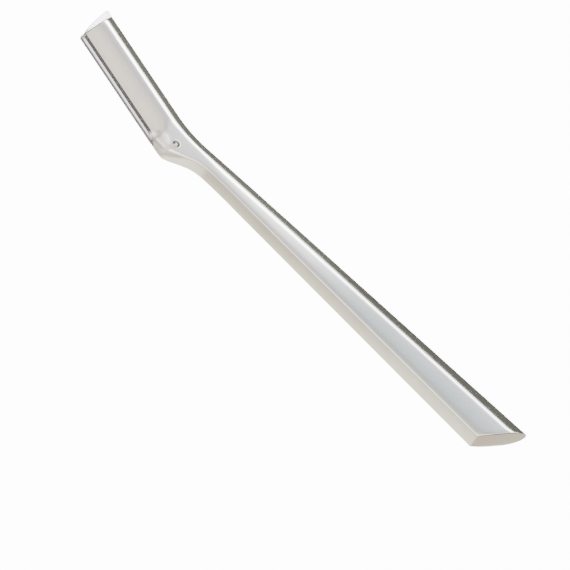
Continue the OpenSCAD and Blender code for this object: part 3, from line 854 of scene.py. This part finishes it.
class RAZOR_OT_cartridge(bpy.types.Operator):
    """Build the translucent rail with its domed cap, and finish its pins"""
    bl_idname = "razor.cartridge"
    bl_label = "Cartridge"

    def execute(self, context):
        m = measures()
        piece = lofted("rail_and_cap", m, self.cap_rings(m), at_toe(m))
        head, gap = in_head(m), m.slide_gap
        rail_end = POCKET_END - gap
        low, high = m.rail_low, m.rail_thick / 2 + m.mid_z
        rail_y = (m.pocket_low + gap, POCKET_HIGH - gap)
        outline = [(rail_y[0], low), (rail_y[1], low), (rail_y[1], high), (rail_y[0], high)]
        near = [(-m.head_len - CAP_ROOT / math.cos(m.toe_slant) - y * m.slant, y, z) for y, z in outline]
        rail = lofted("rail", m, [near, [(rail_end, y, z) for y, z in outline]], head)
        joined_by(piece, rail, "UNION")
        tongue = block("tongue", m, (rail_end - OVERRUN, -TONGUE_W / 2, low),
                       (TONGUE_END, TONGUE_W / 2, m.tongue_top), head)
        joined_by(piece, tongue, "UNION")
        slit = m.blade_thick / 2 + FIXED_GAP
        slit_low = (m.blade_toe - FIXED_GAP, m.blade_edge - OVERRUN, m.mid_z - slit)
        slit_high = (-BLADE_HEEL_AT + FIXED_GAP, BLADE_BACK + FIXED_GAP, m.mid_z + slit)
        joined_by(piece, block("slit", m, slit_low, slit_high, head), "DIFFERENCE")
        groove = block("groove", m, (0, -m.ball_r - gap, m.ball_z - m.ball_r - GROOVE_GAP),
                       (TONGUE_END + OVERRUN, m.ball_r + gap, m.mid_z + OVERRUN), head)
        joined_by(piece, groove, "DIFFERENCE")
        for k in range(PIN_COUNT):
            at = head @ Vector((-BLADE_HEEL_AT - m.blade_len * (k + 0.5) / PIN_COUNT, m.pin_y, m.mid_z))
            r, half = m.pin_d / 2 + PIN_GAP, m.rail_thick
            joined_by(piece, turned("hole", m, [(r, -half), (r, half)], at, steps=48), "DIFFERENCE")
        shaded(piece, degrees=22)
        finished(piece, "cartridge", "clear_moulding", "clear_plastic", "blade_carrier")
        dress("carrier_pins", "pin_wire")
        return {"FINISHED"}

    def cap_rings(self, m):
        """Outlines that shrink from the end of the head to the top of the dome."""
        outline = section(m, -m.head_len)[0]
        apex = -m.lip_reach + (m.head_spine + m.lip_reach) * CAP_APEX_SHARE
        rings = []
        for k in range(CAP_STEPS + 1):
            t = math.sin(math.pi / 2 * k / CAP_STEPS)
            lip = max(1 - t * t, CAP_TIP) ** CAP_LIP_POWER
            full = max(1 - t ** CAP_ROUND_POWER, CAP_TIP) ** (1 / CAP_ROUND_POWER)
            deep = max(1 - t ** CAP_DEEP_POWER, CAP_TIP) ** (1 / CAP_DEEP_POWER)
            y = outline[:, 0]
            across = apex + (y - apex) * np.where(y < apex, lip, full)
            lean = m.cap_h * t * math.tan(CAP_LEAN)
            rings.append(np.stack([np.full(len(y), -CAP_GAP - m.cap_h * t), across + lean,
                                   m.mid_z + (outline[:, 1] - m.mid_z) * deep], -1))
        return rings


def sheet(name, points, faces, material, unseen_by):
    """A sheet of the studio, unseen by some kinds of ray."""
    mesh = bpy.data.meshes.new(name)
    mesh.from_pydata(points, [], faces)
    mesh.materials.append(bpy.data.materials[material])
    made = linked(name, mesh)
    for ray in unseen_by:
        setattr(made, f"visible_{ray}", False)
    return made


class RAZOR_OT_studio(bpy.types.Operator):
    """Set the pale floor, the soft light all round and the camera"""
    bl_idname = "razor.studio"
    bl_label = "Studio"

    def execute(self, context):
        studio = context.scene.razor_studio
        self.floor(studio)
        self.light(context, studio)
        self.camera(context, studio)
        return {"FINISHED"}

    def floor(self, studio):
        """A plain pale floor that only the camera and clear plastic see."""
        tree, shader = new_material("pale_floor", studio.floor_tint, roughness=0.9)
        cloud = noise(tree, place_of(tree), FLOOR_CLOUDS)
        glow = ranged(tree, cloud, 0.0, 1.0, *(k * studio.floor_glow for k in FLOOR_EVENNESS))
        feed(shader, {"Specular IOR Level": 0.0, "Emission Color": (*studio.floor_tint, 1),
                      "Emission Strength": glow})
        half = FLOOR_HALF
        corners = [(-half, -half, 0), (half, -half, 0), (half, half, 0), (-half, half, 0)]
        floor = sheet("floor", corners, [(0, 1, 2, 3)], "pale_floor", ("glossy", "diffuse", "shadow"))

    def light(self, context, studio):
        """A long tent of light round the razor, bright and dark in bands that run along it."""
        world = bpy.data.worlds.new("room")
        context.scene.world = world
        world.use_nodes = True
        tree = world.node_tree
        tree.nodes.clear()
        seen = node(tree, "LightPath").outputs["Is Camera Ray"]
        glow = tuple(c * studio.floor_glow for c in studio.floor_tint)
        dim = node(tree, "Background", {"Color": (*ROOM, 1), "Strength": studio.light})
        pale = node(tree, "Background", {"Color": (*glow, 1), "Strength": 1.0})
        mixed = node(tree, "MixShader", {0: seen, 1: dim.outputs[0], 2: pale.outputs[0]})
        node(tree, "OutputWorld", {"Surface": mixed.outputs[0]})
        self.tent(studio)

    def tent(self, studio):
        """The tent's sheet, and the bands of light on it."""
        tree, shader = new_material("tent_light", (0, 0, 0), roughness=1.0)
        bpy.data.materials["tent_light"].cycles.emission_sampling = "NONE"
        steps = TENT_STEPS
        points = [(x, TENT_R * math.cos(g), TENT_R * math.sin(g)) for x in (-TENT_HALF, TENT_HALF)
                  for g in np.arange(steps) * 2 * math.pi / steps]
        faces = [(k, (k + 1) % steps, steps + (k + 1) % steps, steps + k) for k in range(steps)]
        tent = sheet("tent", points, faces, "tent_light", ("camera", "diffuse", "shadow"))
        apart = node(tree, "SeparateXYZ", {0: place_of(tree)})
        turn = maths(tree, "ARCTAN2", apart.outputs["Z"], apart.outputs["Y"])
        full = maths(tree, "ADD", maths(tree, "DIVIDE", turn, 2 * math.pi), 0.5)
        light = band_ramp(tree, full, END_BANDS)
        for start, stop, bands in ZONES:
            step = ranged(tree, apart.outputs["X"], start * MM, stop * MM, smooth=True)
            light = blended(tree, step, light, band_ramp(tree, full, bands))
        feed(shader, {"Specular IOR Level": 0.0, "Emission Color": light,
                      "Emission Strength": studio.light})

    def camera(self, context, studio):
        """A long lens over the front face, rolled as the photograph is."""
        m = measures()
        tilt, roll = studio.tilt, math.pi / 2 - studio.roll_down
        out = Vector((math.sin(tilt), -math.cos(tilt) * math.sin(roll), math.cos(tilt) * math.cos(roll)))
        along_t = (Vector((1, 0, 0)) - out * out.x).normalized()
        along_p = -out.cross(along_t)
        right = ALONG_RIGHT * along_t - ALONG_DOWN * along_p
        up = -ALONG_DOWN * along_t - ALONG_RIGHT * along_p
        aim = origin(m) + studio.pixel * ((FRAME / 2 - DETENT_PIXEL[0]) * right
                                          - (FRAME / 2 - DETENT_PIXEL[1]) * up)
        data = bpy.data.cameras.new("camera")
        data.lens = data.sensor_width * studio.distance / (FRAME * studio.pixel)
        data.clip_start, data.clip_end = CAMERA_REACH
        camera = linked("camera", data)
        turn = Matrix((right, up, out)).transposed()
        camera.matrix_world = Matrix.Translation(aim + out * studio.distance) @ turn.to_4x4()
        context.scene.camera = camera


# The photograph's size and the detent's place in it in pixels, the handle's direction across it, and how
# near and far the camera sees in metres
FRAME = 570
DETENT_PIXEL = (176.4, 143.8)
ALONG_RIGHT, ALONG_DOWN = 0.742, 0.671
CAMERA_REACH = (0.05, 50.0)

# The floor's half width in metres, the scale of its clouds, and how even its light is
FLOOR_HALF, FLOOR_CLOUDS, FLOOR_EVENNESS = 3.0, 4.0, (0.985, 1.015)

# The light tent, in metres, its steps, and the room past its ends
TENT_R, TENT_HALF, TENT_STEPS = 0.4, 0.6, 180
ROOM = (0.2, 0.2, 0.19)

# Bands of the tent: rows of degrees round the razor, 0 towards the spine and 90 above, with the light there
# as a colour or a grey, or with none where it stays as in the row before. The first three are shared parts.
BEHIND_ENDS = ((-180, 1.6, 1.5, 1.3), (180,), (-152, 1.2, 1.1, 1), (-143, 0.24, 0.23, 0.22))
OVER_ENDS = ((106, 5.6, 5.6, 5.8), (123,), (130, 0.25, 0.24, 0.23), (155,), (163, 1.6, 1.5, 1.3))
BESIDE_HEAD = (
    (-80, 2.0, 1.9, 1.6), (-62, 1.1, 1.05, 0.85), (-50, 0.42, 0.42, 0.35), (-35, 0.31, 0.31, 0.26),
    (20, 0.28, 0.28, 0.24), (34.5, 0.3, 0.3, 0.27),
)
END_BANDS = (
    *BEHIND_ENDS, (-72,), (-60, 0.45, 0.45, 0.38), (-50, 0.42, 0.42, 0.35), (-35, 0.31, 0.31, 0.26),
    (20, 0.3, 0.3, 0.27), (34, 0.5, 0.46, 0.42), (95,), (100, 1.2, 1.1, 1.05), *OVER_ENDS,
)
TOE_BANDS = (
    *BEHIND_ENDS, (-107,), (-98, 1.5, 1.4, 1.2), *BESIDE_HEAD, (41, 12), (47,), (49.5, 5),
    (54, 2.1, 2.1, 2.12), (63, 1.75, 1.65, 1.5), (75, 2.25, 2.0, 1.75), (100, 2.15, 1.85, 1.6),
    *OVER_ENDS,
)
HEAD_BANDS = (
    (-180, 1.9, 1.75, 1.55), (180,), (-150, 1.5, 1.4, 1.2), (-135, 1.15, 1.05, 0.85),
    (-127, 1.45, 1.33, 1.05), (-119, 1.9, 1.75, 1.4), (-107, 2.1, 2.0, 1.65), *BESIDE_HEAD, (38.5, 3),
    (41, 16), (46.3,), (49.2, 5), (51.3, 2.6, 2.6, 2.62), (53, 2.0, 2.0, 2.02), (56, 1.4, 1.4, 1.42),
    (58.5, 1.3, 1.27, 1.22), (63, 1.75, 1.65, 1.5), (75, 2.25, 2.0, 1.75), (90, 2.15, 1.85, 1.6),
    (108, 2.1, 1.9, 1.7), (125, 2.0, 1.85, 1.65),
)
MIDDLE_BANDS = (
    (-180, 1.5, 1.4, 1.2), (180,), (-158, 1.3, 1.2, 1.05), (-135, 1.4, 1.28, 1.04),
    (-127, 1.83, 1.68, 1.32), (-119, 2.2, 2.05, 1.6), (-107, 2.2, 2.1, 1.7), (-80, 1.9, 1.8, 1.6),
    (-62, 1.1, 1.05, 0.85), (-50, 0.42, 0.42, 0.35), (-35, 0.33, 0.33, 0.28), (20, 0.29, 0.29, 0.25),
    (35.5, 0.31, 0.31, 0.28), (39.5, 3), (42, 16), (46.5,), (48.5, 7), (50.5, 4.4), (53, 3.8, 3.82, 3.82),
    (55.5, 2.8, 2.8, 2.77), (57.5, 1.6, 1.6, 1.54), (59, 1.1, 1.1, 1.03), (62, 1.6, 1.55, 1.4),
    (68, 4.2, 4.0, 3.6), (110,), (127, 1.8, 1.65, 1.4),
)
BUTT_BANDS = (
    (-180, 1.5, 1.4, 1.2), (180,), (-158, 1.3, 1.2, 1.05), (-135, 1.75, 1.65, 1.3),
    (-127, 2.2, 2.05, 1.6), (-119, 2.6, 2.4, 1.85), (-107, 2.5, 2.3, 1.8), (-80, 1.9, 1.8, 1.6),
    (-62, 1.1, 1.05, 0.85), (-50, 0.4, 0.4, 0.33), (-35, 0.26, 0.26, 0.22), (20, 0.22, 0.22, 0.19),
    (37.8, 0.25, 0.25, 0.23), (41.5, 3), (43.2, 14), (44.8, 13), (47.5, 2.6, 2.7, 2.75),
    (49.5, 1.7, 1.8, 1.86), (54, 1.36, 1.52, 1.62), (56.5, 1.25, 1.42, 1.5), (59, 0.8, 0.83, 0.81),
    (62, 1.7, 1.65, 1.5), (68, 4.4, 4.2, 3.8), (110,), (127, 1.8, 1.65, 1.4),
)
FAR_BANDS = (
    (-180, 1.22, 1.06, 0.82), (180, 1.5, 1.4, 1.15), (-20, 1.18, 1.01, 0.78), (0, 0.3),
    (90, 0.15, 0.15, 0.16), (104, 0.5), (112, 2.3, 2.2, 2.0), (140, 2.0, 1.9, 1.65),
)

# Where along the tent one set of bands turns into the next, in millimetres
ZONES = ((-330, -205, TOE_BANDS), (-202, -186, HEAD_BANDS), (-70, -54, MIDDLE_BANDS),
         (-40, -10, BUTT_BANDS), (210, 330, FAR_BANDS))


class RAZOR_PT_panel(bpy.types.Panel):
    """Lists the steps that build the razor"""
    bl_idname = "RAZOR_PT_panel"
    bl_label = "Eyebrow Razor"
    bl_space_type = "VIEW_3D"
    bl_region_type = "UI"
    bl_category = "Razor"

    def draw(self, context):
        for step in STEPS:
            self.layout.operator(step.bl_idname)
        for group in (context.scene.razor_sizes, context.scene.razor_finish, context.scene.razor_studio):
            box = self.layout.box()
            for key in type(group).__annotations__:
                box.prop(group, key)


STEPS = (RAZOR_OT_materials, RAZOR_OT_handle, RAZOR_OT_detent, RAZOR_OT_blade, RAZOR_OT_cartridge,
         RAZOR_OT_studio)
GROUPS = {"razor_sizes": RazorSizes, "razor_finish": RazorFinish, "razor_studio": RazorStudio}


def register():
    """Makes the classes known and gives the scene its sizes, finish and studio."""
    for kind in (*GROUPS.values(), *STEPS, RAZOR_PT_panel):
        bpy.utils.register_class(kind)
    for name, kind in GROUPS.items():
        setattr(bpy.types.Scene, name, PointerProperty(type=kind))


def unregister():
    """Takes away what register added."""
    for name in GROUPS:
        delattr(bpy.types.Scene, name)
    for kind in (RAZOR_PT_panel, *reversed(STEPS), *GROUPS.values()):
        bpy.utils.unregister_class(kind)


def main():
    """Builds the razor step by step."""
    register()
    bpy.ops.razor.materials()
    bpy.ops.razor.handle()
    bpy.ops.razor.detent()
    bpy.ops.razor.blade()
    bpy.ops.razor.cartridge()
    bpy.ops.razor.studio()


if __name__ == "__main__":
    main()
